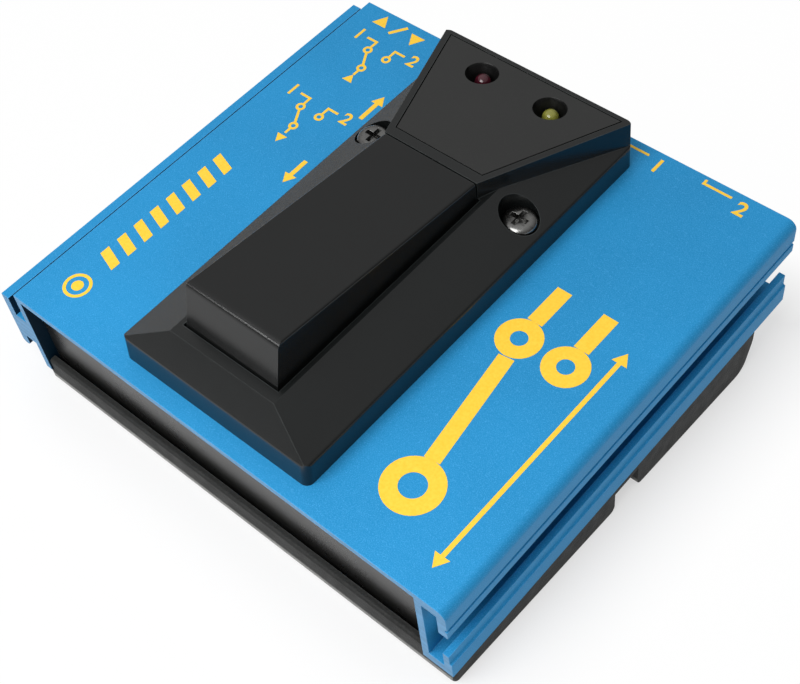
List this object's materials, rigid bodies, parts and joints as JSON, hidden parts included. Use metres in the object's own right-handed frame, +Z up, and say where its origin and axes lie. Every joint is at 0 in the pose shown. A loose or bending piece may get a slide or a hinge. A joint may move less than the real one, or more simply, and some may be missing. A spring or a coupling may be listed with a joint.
{
  "type": "ab switch pedal",
  "caption": "Foot-operated A/B selector: a hinged wedge pedal and status lamps on a leaning metal case whose side profiles link it to its neighbours, with plug sockets at the rear.",
  "frame": {"origin": "on the floor, below the middle of the case", "axes": "+X to the right across the linking profiles, +Y to the rear where the jacks are, +Z up"},
  "size_m": [0.1, 0.0924, 0.0426],
  "materials": {
    "blue_anodised": "satin anodised",
    "black_moulding": "fine satin grain",
    "sole_rubber": "matte",
    "base_moulding": "matte",
    "panel_black": "semi gloss",
    "dark_steel": "blackened",
    "zinc_steel": "zinc plated",
    "red_lens": "clear tinted",
    "green_lens": "clear tinted",
    "green_laminate": "solder resist",
    "ribbon_grey": "matte",
    "lead_red": "matte",
    "component_tan": "satin",
    "switch_black": "semi gloss",
    "ivory_plastic": "semi gloss",
    "tinned_brass": "satin",
    "cell_wrap": "satin",
    "foam_grey": "matte foam"
  },
  "bodies": {
    "chassis": {"body_shell": "blue_anodised", "pedal_housing": "black_moulding", "indicator_plate": "black_moulding", "spring_cup": "black_moulding", "front_sole": "sole_rubber", "rear_sole": "sole_rubber", "pedal_bumper": "sole_rubber", "base_plate": "base_moulding", "front_panel": "panel_black", "rear_panel": "panel_black", "housing_screws": "dark_steel", "base_screws": "dark_steel", "base_posts": "zinc_steel", "housing_nuts": "zinc_steel", "hinge_pin": "zinc_steel", "return_spring": "zinc_steel", "board_screws": "zinc_steel", "jack_nuts": "zinc_steel", "jack_washers": "zinc_steel", "led_red": "red_lens", "led_green": "green_lens", "led_board": "green_laminate", "circuit_board": "green_laminate", "led_ribbon": "ribbon_grey", "jack_leads": "ribbon_grey", "battery_leads": "lead_red", "board_parts": "component_tan", "switch_body": "switch_black", "jack_in_out": "switch_black", "jack_a": "switch_black", "jack_b": "switch_black", "battery_snap": "switch_black", "jack_lugs": "tinned_brass", "battery": "cell_wrap"},
    "pedal": {"pedal": "black_moulding"},
    "plunger": {"switch_plunger": "ivory_plastic"},
    "hatch": {"battery_hatch": "base_moulding", "battery_pad": "foam_grey"}
  },
  "joints": [
    {"name": "pedal_hinge", "type": "hinge", "parent": "chassis", "child": "pedal", "pos_m": [0, 0.00688, 0.03269], "axis": [1, 0, 0], "range_deg": [0, 5.5], "stiffness_Nm_per_rad": 0.5, "springref_deg": -11.46, "deforming": ["return_spring"]},
    {"name": "plunger_slide", "type": "slide", "parent": "chassis", "child": "plunger", "axis": [0, 0.0785, -0.9969], "range_m": [0, 0.0014]},
    {"name": "hatch_hinge", "type": "hinge", "parent": "chassis", "child": "hatch", "pos_m": [0, -0.01244, 0.0017], "axis": [1, 0, 0], "range_deg": [0, 100]}
  ],
  "couplings": [
    {"joint": "plunger_slide", "follows": "pedal_hinge", "m_per_rad": 0.0136}
  ]
}
